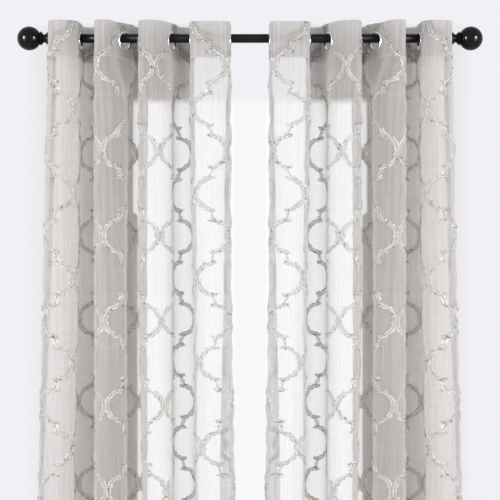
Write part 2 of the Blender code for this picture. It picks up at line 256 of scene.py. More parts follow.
# The folds are worked out once, at these places across and these drops, and read off between them.
TABLE_COLUMNS = 687
TABLE_ROWS = 75              # below UPPER_END
table_stations = np.linspace(0.0, PANEL_WIDTH, TABLE_COLUMNS)
table_drops = np.concatenate((
    np.linspace(0.0, HEADING_DEPTH, 3), np.arange(HEADING_DEPTH + 0.01, UPPER_END, UPPER_STEP),
    np.linspace(UPPER_END, PANEL_DROP, TABLE_ROWS),
))
table = np.array([fold_line(TOP_HEIGHT - drop, table_stations) for drop in table_drops])


def on_fold(across, drop):
    """Place (x, y) and heading of the hanging cloth, at points of the flat panel."""
    column = np.clip(across / PANEL_WIDTH, 0.0, 1.0) * (len(table_stations) - 1)
    c = np.minimum(column.astype(int), len(table_stations) - 2)
    s = column - c
    r = np.clip(np.searchsorted(table_drops, drop, side="right") - 1, 0, len(table_drops) - 2)
    t = np.clip((drop - table_drops[r]) / (table_drops[r + 1] - table_drops[r]), 0.0, 1.0)
    upper = table[r, :, c] * (1 - s)[:, None] + table[r, :, c + 1] * s[:, None]
    lower = table[r + 1, :, c] * (1 - s)[:, None] + table[r + 1, :, c + 1] * s[:, None]
    return (upper * (1 - t)[:, None] + lower * t[:, None]).T


def hang(across, drop, rise=0.0):
    """Where points of the flat cloth hang, as an (n, 3) array for the left panel.

    across and drop may run past the panel's edges, on to what is turned back. rise is the height above the
    cloth's outer face, which looks to the front on the panel and to the back where the cloth is turned over.
    """
    across, drop = np.asarray(across, dtype=float), np.asarray(drop, dtype=float)
    side = (across < 0.0) | (across > PANEL_WIDTH)
    end = (drop < 0.0) | (drop > PANEL_DROP)
    u = np.where(across > PANEL_WIDTH, 2 * PANEL_WIDTH - across, np.abs(across))
    v = np.where(drop > PANEL_DROP, 2 * PANEL_DROP - drop, np.abs(drop))
    x, y, turn = on_fold(u, v)
    behind = np.select([side & end, end, side], [CORNER_SET, HEADING_SET, SIDE_HEM_SET], FACE_SET)
    facing = np.where(side ^ end, -1.0, 1.0)
    off = behind - crease_lift(u, v) - facing * rise
    return np.column_stack((x + off * np.sin(turn), y + off * np.cos(turn), TOP_HEIGHT - v))


def from_arrays(name, points, faces, finish, mirror, flat):
    """A mesh object from arrays. mirror flips it for the right panel, and flat is its UV map, in metres."""
    points = np.array(points, dtype=float)
    if mirror:
        points[:, 0] *= -1.0
        faces = [tuple(reversed(face)) for face in faces]
    mesh = bpy.data.meshes.new(name)
    mesh.from_pydata(points.tolist(), [], faces)
    corners = np.empty(len(mesh.loops), dtype=np.int32)
    mesh.loops.foreach_get("vertex_index", corners)
    flat_corners = np.asarray(flat, dtype=np.float32)[corners]
    mesh.uv_layers.new(name="flat").data.foreach_set("uv", flat_corners.ravel())
    mesh.shade_smooth()
    mesh.materials.append(finish)
    made = bpy.data.objects.new(name, mesh)
    scene.collection.objects.link(made)
    return made


def stepped(start, end, step):
    """Even places from start to end, about a step apart."""
    return np.linspace(start, end, max(1, round(abs(end - start) / step)) + 1)


def cloth_grid():
    """Points of the flat cloth in rows and columns, with its turned-back hems, and the faces between them."""
    edge = EDGE_BEND
    across = np.concatenate((
        stepped(-SIDE_HEM, -edge, TURNED_STEP), [0.0], stepped(edge, PANEL_WIDTH - edge, ACROSS_STEP),
        [PANEL_WIDTH], stepped(PANEL_WIDTH + edge, PANEL_WIDTH + SIDE_HEM, TURNED_STEP),
    ))
    drop = np.concatenate((
        stepped(-HEADING_DEPTH, -edge, HEADING_STEP), [0.0], stepped(edge, HEADING_DEPTH, HEADING_STEP),
        stepped(HEADING_DEPTH + 2 * HEADING_STEP, UPPER_END, UPPER_STEP),
        stepped(UPPER_END + DOWN_STEP, PANEL_DROP - edge, DOWN_STEP),
        [PANEL_DROP], stepped(PANEL_DROP + edge, PANEL_DROP + BOTTOM_HEM, DOWN_STEP),
    ))
    columns, rows = len(across), len(drop)
    u, v = (part.ravel().copy() for part in np.meshgrid(across, drop))
    corner = (np.arange(rows - 1)[:, None] * columns + np.arange(columns - 1)[None, :]).ravel()
    faces = np.column_stack((corner, corner + columns, corner + columns + 1, corner + 1))

    # Faces inside an eyelet's hole go, and the points round it move on to the hole's edge.
    middle = HEADING_DEPTH / 2
    for i in range(EYELET_COUNT):
        eye = EYELET_MARGIN + i * EYELET_PITCH
        far = np.hypot(u - eye, np.abs(v) - middle)
        inside = far[faces].mean(axis=1) < HOLE_RADIUS
        rim = np.intersect1d(faces[inside], faces[~inside])
        out_u, out_v = u[rim] - eye, np.abs(v[rim]) - middle
        scale = HOLE_RADIUS / np.hypot(out_u, out_v)
        u[rim] = eye + out_u * scale
        v[rim] = np.sign(v[rim]) * (middle + out_v * scale)
        faces = faces[~inside]
    used, faces = np.unique(faces, return_inverse=True)
    return u[used], v[used], [tuple(face) for face in faces.reshape(-1, 4).tolist()]


def new_group(name, inputs, outputs):
    """An empty shader node group with the given sockets, and its input and output nodes."""
    tree = bpy.data.node_groups.new(name, "ShaderNodeTree")
    for label, kind, value in inputs:
        made = tree.interface.new_socket(label, in_out="INPUT", socket_type=kind)
        if value is not None:
            made.default_value = value
    for label, kind in outputs:
        tree.interface.new_socket(label, in_out="OUTPUT", socket_type=kind)
    return tree, tree.nodes.new("NodeGroupInput"), tree.nodes.new("NodeGroupOutput")


def new_material(name):
    """An empty material, its node tree, and a function that makes a shader node its surface."""
    made = bpy.data.materials.new(name)
    made.use_nodes = True
    tree = made.node_tree
    tree.nodes.clear()

    def to_surface(node):
        new_node(tree, "OutputMaterial", {"Surface": node.outputs[0]})

    return made, tree, to_surface


def maths(tree, operation, *values, clamp=False):
    """A Math node; each value is a number or a socket."""
    node = new_node(tree, "Math", enumerate(values))
    node.operation = operation
    node.use_clamp = clamp
    return node.outputs[0]


def new_node(tree, kind, values=()):
    """A node of a kind; each value is a constant for an input, or an output of another node to link to it."""
    node = tree.nodes.new(f"ShaderNode{kind}")
    for label, value in dict(values).items():
        if isinstance(value, bpy.types.NodeSocket):
            tree.links.new(value, node.inputs[label])
        else:
            node.inputs[label].default_value = value
    return node


def separated(tree, vector):
    return new_node(tree, "SeparateXYZ", {0: vector}).outputs


def stretched(tree, vector, scale):
    return new_node(tree, "Mapping", {"Vector": vector, "Scale": scale}).outputs[0]


def noise(tree, vector, scale, detail=2.0, roughness=0.5):
    values = {"Vector": vector, "Scale": scale, "Detail": detail, "Roughness": roughness}
    return new_node(tree, "TexNoise", values).outputs["Fac"]


def ramp(tree, value, low, high, to_low=0.0, to_high=1.0):
    values = {"Value": value, "From Min": low, "From Max": high, "To Min": to_low, "To Max": to_high}
    return new_node(tree, "MapRange", values).outputs["Result"]


def colour_between(tree, factor, first, second):
    """A mix of two colours; each is three numbers or a socket."""
    node = tree.nodes.new("ShaderNodeMix")
    node.data_type = "RGBA"
    tree.links.new(factor, node.inputs["Factor"])
    for label, colour in (("A", first), ("B", second)):
        if isinstance(colour, tuple):
            node.inputs[label].default_value = (*colour, 1.0)
        else:
            tree.links.new(colour, node.inputs[label])
    return node.outputs["Result"]


# Weave: fine warp and weft threads, thicker slubs along both, and soft long streaks from warp to warp.
# Each scale is of a noise across and down the flat cloth.
THREAD_PITCH = 0.0006
THREAD_WANDER = 9.0          # how far threads wander from their even places, in radians of their pitch
WARP_WANDER_SCALE = (60.0, 9.0, 1.0)
WEFT_WANDER_SCALE = (7.0, 80.0, 1.0)
WARP_SLUB_SCALE = (520.0, 7.0, 1.0)
WEFT_SLUB_SCALE = (9.0, 620.0, 1.0)
STREAK_SCALE = (95.0, 1.6, 1.0)
WARP_SLUB_SHARE = 0.62       # the rest of the slubs are in the weft
COVER_SHARES = (0.55, 0.55, 0.25)  # what the threads, the slubs and the streaks add to the cover
weave, weave_in, weave_out = new_group(
    "slub_weave",
    [("Flat", "NodeSocketVector", None)],
    [("Cover", "NodeSocketFloat"), ("Shade", "NodeSocketFloat"), ("Height", "NodeSocketFloat")],
)
flat_place = weave_in.outputs["Flat"]
split = separated(weave, flat_place)
threads = []
for axis, scale in (("X", WARP_WANDER_SCALE), ("Y", WEFT_WANDER_SCALE)):
    wander = noise(weave, stretched(weave, flat_place, scale), 1.0, 1.0)
    strayed = maths(weave, "MULTIPLY", wander, THREAD_WANDER)
    angle = maths(weave, "MULTIPLY_ADD", split[axis], 2 * math.pi / THREAD_PITCH, strayed)
    threads.append(maths(weave, "MULTIPLY_ADD", maths(weave, "SINE", angle), 0.5, 0.5))
warp_slub = noise(weave, stretched(weave, flat_place, WARP_SLUB_SCALE), 1.0, 3.0, 0.6)
weft_slub = noise(weave, stretched(weave, flat_place, WEFT_SLUB_SCALE), 1.0, 3.0, 0.6)
long_streak = noise(weave, stretched(weave, flat_place, STREAK_SCALE), 1.0, 2.0, 0.5)
slubs = maths(weave, "ADD", maths(weave, "MULTIPLY", ramp(weave, warp_slub, 0.35, 0.72), WARP_SLUB_SHARE),
              maths(weave, "MULTIPLY", ramp(weave, weft_slub, 0.42, 0.75), 1 - WARP_SLUB_SHARE))
crossed = maths(weave, "MAXIMUM", threads[0], threads[1])
cover = maths(weave, "MULTIPLY", crossed, COVER_SHARES[0])
cover = maths(weave, "ADD", cover, maths(weave, "MULTIPLY", slubs, COVER_SHARES[1]))
cover = maths(weave, "MULTIPLY_ADD", ramp(weave, long_streak, 0.3, 0.7), COVER_SHARES[2], cover)
shade = maths(weave, "MULTIPLY_ADD", slubs, 0.6, ramp(weave, long_streak, 0.3, 0.7, 0.0, 0.4))
height = maths(weave, "MULTIPLY_ADD", slubs, 0.5, maths(weave, "MULTIPLY", crossed, 0.5))
for label, value in (("Cover", cover), ("Shade", shade), ("Height", height)):
    weave.links.new(value, weave_out.inputs[label])


def flat_coordinates(tree):
    node = tree.nodes.new("ShaderNodeUVMap")
    node.uv_map = "flat"
    return node.outputs["UV"]


def placed_group(tree, group, vector):
    node = tree.nodes.new("ShaderNodeGroup")
    node.node_tree = group
    tree.links.new(vector, node.inputs[0])
    return node


def bump(tree, height, distance, strength=1.0):
    values = {"Height": height, "Distance": distance, "Strength": strength}
    return new_node(tree, "Bump", values).outputs["Normal"]


def mix_shaders(tree, factor, first, second):
    """A mix of two shader nodes; the factor is a number or a socket."""
    values = {0: factor, 1: first.outputs[0], 2: second.outputs[0]}
    return new_node(tree, "MixShader", values)


VOILE_DARK = (0.50, 0.455, 0.435)
VOILE_LIGHT = (0.750, 0.722, 0.714)
VOILE_COVER = (0.36, 0.58)   # share of the cloth that is thread, between slubs and on them
VOILE_GLOSS = {"Roughness": 0.75, "Specular IOR Level": 0.05, "Sheen Weight": 0.15}
VOILE_LIT_THROUGH = 0.50     # share of its light that goes on through a thread
THROUGH_DARK = (0.545, 0.540, 0.530)  # its colour, cleaner than the threads' own
THROUGH_LIGHT = (0.820, 0.832, 0.838)
PRESSED_COVER = 0.24         # how much more thread covers in the heading, which is pressed flat
PRESSED_EDGE = 0.001
SLANT_LEAST = 0.16           # the sharpest slant that counts, as a share of looking at the cloth square on

voile, tree, to_surface = new_material("voile")
here = flat_coordinates(tree)
weave_node = placed_group(tree, weave, here)
threads_normal = bump(tree, weave_node.outputs["Height"], 0.0003, 0.5)
cloth = new_node(tree, "BsdfPrincipled", VOILE_GLOSS)
through = new_node(tree, "BsdfTranslucent")
for lit_part, label, dark, light in ((cloth, "Base Color", VOILE_DARK, VOILE_LIGHT),
                                     (through, "Color", THROUGH_DARK, THROUGH_LIGHT)):
    tree.links.new(colour_between(tree, weave_node.outputs["Shade"], dark, light), lit_part.inputs[label])
    tree.links.new(threads_normal, lit_part.inputs["Normal"])
lit = mix_shaders(tree, VOILE_LIT_THROUGH, cloth, through)
# Seen at a slant, the gaps between the threads close up.
facing = new_node(tree, "LayerWeight", {"Blend": 0.5})
square_on = maths(tree, "SUBTRACT", 1.0, facing.outputs["Facing"])
slant = maths(tree, "DIVIDE", 1.0, maths(tree, "MAXIMUM", square_on, SLANT_LEAST))
from_top = maths(tree, "ABSOLUTE", separated(tree, here)["Y"])
pressed = ramp(tree, from_top, HEADING_DEPTH + PRESSED_EDGE, HEADING_DEPTH - PRESSED_EDGE, 0.0, PRESSED_COVER)
cover = maths(tree, "ADD", ramp(tree, weave_node.outputs["Cover"], 0.1, 1.1, *VOILE_COVER), pressed)
gaps = maths(tree, "SUBTRACT", 1.0, cover)
opaque = maths(tree, "SUBTRACT", 1.0, maths(tree, "POWER", gaps, slant), clamp=True)
open_air = new_node(tree, "BsdfTransparent")
to_surface(mix_shaders(tree, opaque, open_air, lit))

flat_u, flat_v, flat_faces = cloth_grid()
cloth_points = hang(flat_u, flat_v)
cloth_flat = np.column_stack((flat_u, flat_v))
for side_name, mirror in SIDES:
    panel = from_arrays(f"voile_{side_name}", cloth_points, flat_faces, voile, mirror, cloth_flat)
    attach(panel, "root")
    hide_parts(f"curtain_{side_name}")


# ---- trellis yarn ----
# Thick soft yarn woven into the voile in a lattice of arcs and clipped close at both sides of each band,
# where its cut ends stand up as two fuzzy ridges. Neighbouring lines mirror each other and touch where their
# arcs bulge together; where an arc ends, the next one overlaps it in a small knot.
REPEAT_ACROSS = 0.203
REPEAT_DOWN = 0.2395
FIRST_TOUCH_ACROSS = 0.067
FIRST_TOUCH_DROP = 0.1295
LINE_SPACING = REPEAT_ACROSS / 2
BAND_WIDTH = 0.0110
TOUCH_SHARE = 0.44           # bands that touch overlap a little: under half of one
ARC_REACH = LINE_SPACING / 2 - TOUCH_SHARE * BAND_WIDTH  # from the line's middle to the furthest point
ARC_OVERLAP = 0.0080         # an arc's ends run this far past the line's middle
ARC_HALF_HEIGHT = 0.0458
ARC_FULLNESS = 2.05          # 2 is an ellipse, more is squarer
ARC_POINTS = 45
ARC_END_WIDTH = 0.45         # an arc narrows to this share at its ends
ARC_SWELL_POWER = 0.6
# A knot's stem: shares of the overlap to its side, and of its own height from the top.
STEM_SHAPE = ((0.70, 0.0), (0.24, 0.3), (-0.24, 0.7), (-0.70, 1.0))
STEM_WIDTH = 0.85
STEM_POINTS = 9              # a path with no more points than this is a stem
PATH_STEP = 0.0042
# Section across a band, a share of its width and a height: a ridge of cut ends to each side, flat between.
BAND_PROFILE = (
    (-0.54, 0.0002), (-0.40, 0.0019), (-0.25, 0.0005), (0.25, 0.0005), (0.40, 0.0019), (0.54, 0.0002),
)
RUNGS_REACH = 0.27           # share of the width from its middle to a ridge
EDGE_STRAY = 0.0072          # how much a band's edge wanders outside that
BAND_WANDER = 0.0007         # how much the whole band wanders to its sides
WIDTH_SPREAD = 0.08
HEIGHT_SPREAD = 0.35
LEAST_HEIGHT = 0.00015
YARN_CLEARANCE = 0.001       # from the eyelets and the cloth's raw edges
YARN_SEED = 11


def arc_path(middle, drop, reach):
    """One arc from its upper to its lower end, about the line's middle; reach is signed."""
    t = np.linspace(0.0, math.pi, ARC_POINTS)
    power = 2.0 / ARC_FULLNESS
    out = np.abs(np.sin(t)) ** power
    down = -np.sign(np.cos(t)) * np.abs(np.cos(t)) ** power
    overlap = math.copysign(ARC_OVERLAP, reach)
    return middle - overlap + (reach + overlap) * out, drop + ARC_HALF_HEIGHT * down


def evenly(u, v, step):
    """The same path with points an even step apart."""
    along = np.concatenate(([0.0], np.cumsum(np.hypot(np.diff(u), np.diff(v)))))
    places = stepped(0.0, along[-1], step)
    return np.interp(places, along, u), np.interp(places, along, v)


def trellis_paths():
    """Paths of all the bands on the flat cloth: an arc and a knot's stem for each half repeat of a line."""
    paths = []
    stem_across, stem_down = np.array(STEM_SHAPE).T
    first_line = FIRST_TOUCH_ACROSS - LINE_SPACING / 2
    lines = int(PANEL_WIDTH / LINE_SPACING) + 2
    halves = int((PANEL_DROP + HEADING_DEPTH + BOTTOM_HEM) / (REPEAT_DOWN / 2)) + 3
    for line in range(-1, lines):
        middle = first_line + line * LINE_SPACING
        for half in range(-2, halves):
            drop = FIRST_TOUCH_DROP + half * REPEAT_DOWN / 2
            reach = ARC_REACH if (line + half) % 2 == 0 else -ARC_REACH
            paths.append(evenly(*arc_path(middle, drop, reach), PATH_STEP))
            overlap = math.copysign(ARC_OVERLAP, reach)
            knot_top = drop + ARC_HALF_HEIGHT
            knot_end = drop + REPEAT_DOWN / 2 - ARC_HALF_HEIGHT
            stem_v = knot_top + (knot_end - knot_top) * stem_down
            paths.append(evenly(middle + overlap * stem_across, stem_v, PATH_STEP))
    return paths


def on_cloth(u, v):
    """Whether flat points are on the cloth and clear of the eyelets."""
    inside = (u > -SIDE_HEM) & (u < PANEL_WIDTH + SIDE_HEM)
    inside &= (v > -HEADING_DEPTH + YARN_CLEARANCE) & (v < PANEL_DROP + BOTTOM_HEM - YARN_CLEARANCE)
    nearest = np.clip(np.round((u - EYELET_MARGIN) / EYELET_PITCH), 0, EYELET_COUNT - 1)
    eye = EYELET_MARGIN + nearest * EYELET_PITCH
    from_eye = np.hypot(u - eye, np.abs(v) - HEADING_DEPTH / 2)
    return inside & (from_eye > FLANGE_RADIUS + YARN_CLEARANCE)


random = np.random.default_rng(YARN_SEED)
band_u, band_v, band_rise, band_faces, band_flat = [], [], [], [], []
tuft_roots = []
profile = len(BAND_PROFILE)
profile_places = [place * BAND_WIDTH for place, _ in BAND_PROFILE]
base = 0
for path_u, path_v in trellis_paths():
    keep = on_cloth(path_u, path_v)
    if keep.sum() < 3:
        continue
    heading = np.arctan2(np.gradient(path_v), np.gradient(path_u))
    across_u, across_v = -np.sin(heading), np.cos(heading)
    count = len(path_u)
    wander = BAND_WANDER * np.convolve(random.normal(0.0, 1.0, count + 2), (0.5, 1.0, 0.5), "valid")
    path_u = path_u + across_u * wander
    path_v = path_v + across_v * wander
    width = BAND_WIDTH * (1 + random.normal(0.0, WIDTH_SPREAD, count))
    is_arc = count > STEM_POINTS
    if is_arc:
        swell = np.sin(np.linspace(0.0, math.pi, count)) ** ARC_SWELL_POWER
        width = width * (ARC_END_WIDTH + (1 - ARC_END_WIDTH) * swell)
    else:
        width = width * STEM_WIDTH
    points_u, points_v, rises = [], [], []
    for place, height in BAND_PROFILE:
        stray = EDGE_STRAY * max(0.0, abs(place) - RUNGS_REACH)
        shift = place * width + random.normal(0.0, stray, count)
        points_u.append(path_u + across_u * shift)
        points_v.append(path_v + across_v * shift)
        rises.append(np.maximum(height * (1 + random.normal(0.0, HEIGHT_SPREAD, count)), LEAST_HEIGHT))
    for whole, part in ((band_u, points_u), (band_v, points_v), (band_rise, rises)):
        whole.append(np.array(part).T.ravel())
    along = np.arange(count) * PATH_STEP + random.uniform(0.0, 5.0)
    band_flat.append(np.column_stack((np.repeat(along, profile), np.tile(profile_places, count))))
    for i in range(count - 1):
        if not (keep[i] and keep[i + 1]):
            continue
        for k in range(profile - 1):
            a = base + i * profile + k
            band_faces.append((a, a + 1, a + profile + 1, a + profile))
    base += count * profile
    if is_arc:
        tuft_roots.append([part[keep] for part in (path_u, path_v, across_u, across_v, width)])
whole_band = (band_u, band_v, band_rise, band_flat)
band_u, band_v, band_rise, band_flat = (np.concatenate(part) for part in whole_band)
used, packed = np.unique(np.array(band_faces), return_inverse=True)
band_faces = [tuple(face) for face in packed.reshape(-1, 4).tolist()]
band_points = hang(band_u[used], band_v[used], band_rise[used])
band_flat = band_flat[used]

# Cut ends: short three-sided tufts at both sides of each band, most of them lying along the weft.
TUFTS_PER_STEP = 2.3
TUFT_LENGTH = 0.0044
TUFT_WIDTH = 0.0018
TUFT_RISE = 0.0018
TUFT_PLACE = 0.40            # from the band's middle, as a share of its width
WEFT_PULL = 0.6              # how strongly a tuft is drawn along the weft, and straight out of the band
OUTWARD_PULL = 0.5
LEAN_SPREAD = (0.25, 0.35)   # across and down
TUFT_BACK = 0.3              # where its top edge is highest, as a share of its length
FOOT_RISE, BACK_RISE, TIP_RISE = 0.0004, 0.0014, 0.0008
TUFT_FACES = ((0, 3, 2), (2, 3, 1), (1, 3, 0))
roots = [np.concatenate(part) for part in zip(*tuft_roots)]
picks = random.integers(0, len(roots[0]), int(len(roots[0]) * TUFTS_PER_STEP * 2))
count = len(picks)
root_u, root_v, across_u, across_v, width = (part[picks] for part in roots)
way = np.where(random.random(count) < 0.5, -1.0, 1.0)
out_u, out_v = way * across_u, way * across_v
slide = random.uniform(-0.5, 0.5, count) * PATH_STEP
tuft_u = root_u + across_v * slide + out_u * width * TUFT_PLACE
tuft_v = root_v - across_u * slide + out_v * width * TUFT_PLACE
weft = np.sign(out_u + 1e-9)
lean_u = WEFT_PULL * weft + OUTWARD_PULL * out_u + random.normal(0.0, LEAN_SPREAD[0], count)
lean_v = OUTWARD_PULL * out_v + random.normal(0.0, LEAN_SPREAD[1], count)
lean = np.hypot(lean_u, lean_v)
lean_u, lean_v = lean_u / lean, lean_v / lean
length = TUFT_LENGTH * random.uniform(0.55, 1.35, count)
tip_u, tip_v = tuft_u + lean_u * length, tuft_v + lean_v * length
fine = on_cloth(tuft_u, tuft_v) & on_cloth(tip_u, tip_v)
half = TUFT_WIDTH / 2 * random.uniform(0.7, 1.3, count)
rise = random.uniform(0.4, 1.5, count) * TUFT_RISE
foot_rise = np.full(count, FOOT_RISE)
back = TUFT_BACK * length
corners = (
    (tuft_u - lean_v * half, tuft_v + lean_u * half, foot_rise),
    (tuft_u + lean_v * half, tuft_v - lean_u * half, foot_rise),
    (tuft_u + lean_u * back, tuft_v + lean_v * back, BACK_RISE + TUFT_BACK * rise),
    (tip_u, tip_v, TIP_RISE + rise),
)
tuft_points = np.stack([hang(u[fine], v[fine], r[fine]) for u, v, r in corners], axis=1).reshape(-1, 3)
tuft_flat = np.stack([np.column_stack((u[fine], v[fine])) for u, v, _ in corners], axis=1).reshape(-1, 2)
tuft_faces = []
for base in range(0, len(tuft_points), 4):
    tuft_faces += [(base + a, base + b, base + c) for a, b, c in TUFT_FACES]

STRAND_SCALE = (900.0, 260.0, 260.0)
CLUMP_SCALE = (175.0, 175.0, 175.0)
STRAND_SHARE = 0.35          # of the shade; the rest comes from the clumps
fibre, fibre_in, fibre_out = new_group(
    "yarn_fibre",
    [("Place", "NodeSocketVector", None)],
    [("Shade", "NodeSocketFloat"), ("Height", "NodeSocketFloat")],
)
strands = noise(fibre, stretched(fibre, fibre_in.outputs["Place"], STRAND_SCALE), 1.0, 3.0, 0.65)
clumps = noise(fibre, stretched(fibre, fibre_in.outputs["Place"], CLUMP_SCALE), 1.0, 2.0, 0.5)
clumped = ramp(fibre, clumps, 0.34, 0.54, 0.0, 1 - STRAND_SHARE)
shade = maths(fibre, "MULTIPLY_ADD", ramp(fibre, strands, 0.25, 0.6), STRAND_SHARE, clumped)
height = maths(fibre, "MULTIPLY_ADD", strands, 0.7, maths(fibre, "MULTIPLY", clumps, 0.5))
fibre.links.new(shade, fibre_out.inputs["Shade"])
fibre.links.new(height, fibre_out.inputs["Height"])

# Between a band's two ridges the yarn lies flat in rungs across it, with painted shade on the cloth between
# them.
RUNG_PITCH = 0.0058
RUNG_SWAY = 9.0              # how far the rungs wander from their even places, in radians of their pitch
RUNGS_EDGE = 0.05            # half of the share of the width over which they give way to a ridge
rungs, rungs_in, rungs_out = new_group(
    "yarn_rungs",
    [("Place", "NodeSocketVector", None)],
    [("Middle", "NodeSocketFloat"), ("Gap", "NodeSocketFloat")],
)
apart = separated(rungs, rungs_in.outputs["Place"])
middle = ramp(rungs, maths(rungs, "ABSOLUTE", apart["Y"]), (RUNGS_REACH + RUNGS_EDGE) * BAND_WIDTH,
              (RUNGS_REACH - RUNGS_EDGE) * BAND_WIDTH)
sway = noise(rungs, stretched(rungs, rungs_in.outputs["Place"], (70.0, 200.0, 1.0)), 1.0, 2.0)
swayed = maths(rungs, "MULTIPLY", sway, RUNG_SWAY)
angle = maths(rungs, "MULTIPLY_ADD", apart["X"], 2 * math.pi / RUNG_PITCH, swayed)
rungs.links.new(middle, rungs_out.inputs["Middle"])
rungs.links.new(ramp(rungs, maths(rungs, "SINE", angle), -0.1, 0.6), rungs_out.inputs["Gap"])

YARN_DARK = (0.60, 0.59, 0.575)
YARN_LIGHT = (0.985, 0.985, 0.985)
# painted shade for the gaps between the rungs, darker than the voile itself
RUNG_GAP_SHADE = (0.30, 0.285, 0.275)
RUNG_YARN = (0.62, 0.60, 0.58)
RUNG_GAP_OPEN = 0.55         # how much of a gap between rungs shows the voile behind
YARN_LIT_THROUGH = 0.42
YARN_THROUGH_DARK = (0.56, 0.535, 0.44)
YARN_THROUGH_LIGHT = (0.80, 0.775, 0.69)
YARN_UNDERSIDE_SHADE = (0.36, 0.32, 0.26)  # painted shade, dark brown, where the yarn is woven in and seen from the back of the cloth
YARN_GLOSS = {"Roughness": 0.85, "Specular IOR Level": 0.05, "Sheen Weight": 0.2}

yarn, tree, to_surface = new_material("trellis_yarn")
here = flat_coordinates(tree)
fibre_node = placed_group(tree, fibre, here)
rungs_node = placed_group(tree, rungs, here)
yarn_colour = colour_between(tree, fibre_node.outputs["Shade"], YARN_DARK, YARN_LIGHT)
# The gaps between the rungs get their painted shade.
rung_colour = colour_between(tree, rungs_node.outputs["Gap"], RUNG_YARN, RUNG_GAP_SHADE)
yarn_colour = colour_between(tree, rungs_node.outputs["Middle"], yarn_colour, rung_colour)
lit_colour = colour_between(tree, fibre_node.outputs["Shade"], YARN_THROUGH_DARK, YARN_THROUGH_LIGHT)
# Seen from the back of the cloth, the yarn is painted a dark brown shade, in the colour it reflects and in
# the colour it lets through.
underside = new_node(tree, "NewGeometry").outputs["Backfacing"]
strand = new_node(tree, "BsdfPrincipled", YARN_GLOSS | {
    "Base Color": colour_between(tree, underside, yarn_colour, YARN_UNDERSIDE_SHADE),
    "Normal": bump(tree, fibre_node.outputs["Height"], 0.0012, 0.8),
})
through_colour = colour_between(tree, underside, lit_colour, YARN_UNDERSIDE_SHADE)
through = new_node(tree, "BsdfTranslucent", {"Color": through_colour})
lit = mix_shaders(tree, YARN_LIT_THROUGH, strand, through)
rung_gaps = maths(tree, "MULTIPLY", rungs_node.outputs["Gap"], RUNG_GAP_OPEN)
gap_open = maths(tree, "MULTIPLY", rungs_node.outputs["Middle"], rung_gaps)
open_air = new_node(tree, "BsdfTransparent")
to_surface(mix_shaders(tree, gap_open, lit, open_air))

for side_name, mirror in SIDES:
    band = from_arrays(f"trellis_{side_name}", band_points, band_faces, yarn, mirror, band_flat)
    tufts = from_arrays(f"cut_ends_{side_name}", tuft_points, tuft_faces, yarn, mirror, tuft_flat)
    for piece in (band, tufts):
        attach(piece, "root")


# ---- sewing ----
# One row of lockstitch holds down each turned-back edge, a little inside it.
STITCH_PITCH = 0.0034
STITCH_LENGTH = 0.0026
STITCH_WIDTH = 0.0006
STITCH_SET = 0.0001
STITCH_RISE = 0.00035
STITCH_INSET = 0.0025
STITCH_END = 0.003           # a row stops this far short of its edge
# Corners of a stitch, as shares of its length, width and rise: four round its foot, and its top.
STITCH_CORNERS = ((-0.5, 0.0, 0.0), (0.0, -0.5, 0.0), (0.5, 0.0, 0.0), (0.0, 0.5, 0.0), (0.0, 0.0, 1.0))
THREAD_DARK = (0.50, 0.48, 0.47)
THREAD_LIGHT = (0.68, 0.66, 0.65)


def stitch_rows():
    """Start and end of each row of stitches on the flat cloth."""
    left, right = SIDE_HEM - STITCH_INSET, PANEL_WIDTH - SIDE_HEM + STITCH_INSET
    heading, hem = HEADING_DEPTH - STITCH_INSET, PANEL_DROP - BOTTOM_HEM + STITCH_INSET
    edge = STITCH_END
    return (
        ((edge, heading), (PANEL_WIDTH - edge, heading)),
        ((edge, hem), (PANEL_WIDTH - edge, hem)),
        ((left, heading + edge), (left, hem - edge)),
        ((right, heading + edge), (right, hem - edge)),
    )


stitch_u, stitch_v, stitch_rise, stitch_faces = [], [], [], []
for (start_u, start_v), (end_u, end_v) in stitch_rows():
    row_length = math.hypot(end_u - start_u, end_v - start_v)
    way_u, way_v = (end_u - start_u) / row_length, (end_v - start_v) / row_length
    for middle in np.arange(STITCH_PITCH / 2, row_length, STITCH_PITCH):
        base = len(stitch_u)
        for along, sideways, up in STITCH_CORNERS:
            run = middle + along * STITCH_LENGTH
            off = sideways * STITCH_WIDTH
            stitch_u.append(start_u + way_u * run - way_v * off)
            stitch_v.append(start_v + way_v * run + way_u * off)
            stitch_rise.append(STITCH_SET + up * STITCH_RISE)
        stitch_faces += [(base + (k + 1) % 4, base + k, base + 4) for k in range(4)]
        stitch_faces.append((base, base + 1, base + 2, base + 3))
stitch_flat = np.column_stack((stitch_u, stitch_v))
stitch_points = hang(np.array(stitch_u), np.array(stitch_v), np.array(stitch_rise))

thread, tree, to_surface = new_material("sewing_thread")
fibre_node = placed_group(tree, fibre, flat_coordinates(tree))
thread_colour = colour_between(tree, fibre_node.outputs["Shade"], THREAD_DARK, THREAD_LIGHT)
strand = new_node(tree, "BsdfPrincipled", {"Roughness": 0.6, "Base Color": thread_colour})
to_surface(strand)
for side_name, mirror in SIDES:
    stitches = from_arrays(f"stitches_{side_name}", stitch_points, stitch_faces, thread, mirror, stitch_flat)
    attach(stitches, "root")


# ---- eyelet rings ----
# Two-part pressed eyelets of nickel-plated steel: a rounded flange on each face of the heading, closed over
# the hole's edge, with a rolled bore that rests on the rod.
BORE_RADIUS = 0.0220
RING_GRIP = 0.0012           # half of the gap between the flanges, where they hold the cloth
RING_SIDES = 56
PLATE_DARK = (0.78, 0.77, 0.765)
PLATE_LIGHT = (0.86, 0.85, 0.845)
# Outline of a ring from the bore round one flange to the groove: radius and height above the cloth's middle.
RING_OUTLINE = (
    (BORE_RADIUS, 0.0000), (BORE_RADIUS, 0.0012), (0.02215, 0.0022), (0.02255, 0.0030), (0.02320, 0.00345),
    (0.02400, 0.0035), (0.02520, 0.00335), (0.02640, 0.0030), (0.02730, 0.0025), (0.02785, 0.0020),
    (FLANGE_RADIUS, 0.0016), (0.02780, 0.00125), (0.02700, RING_GRIP), (0.02440, RING_GRIP),
)

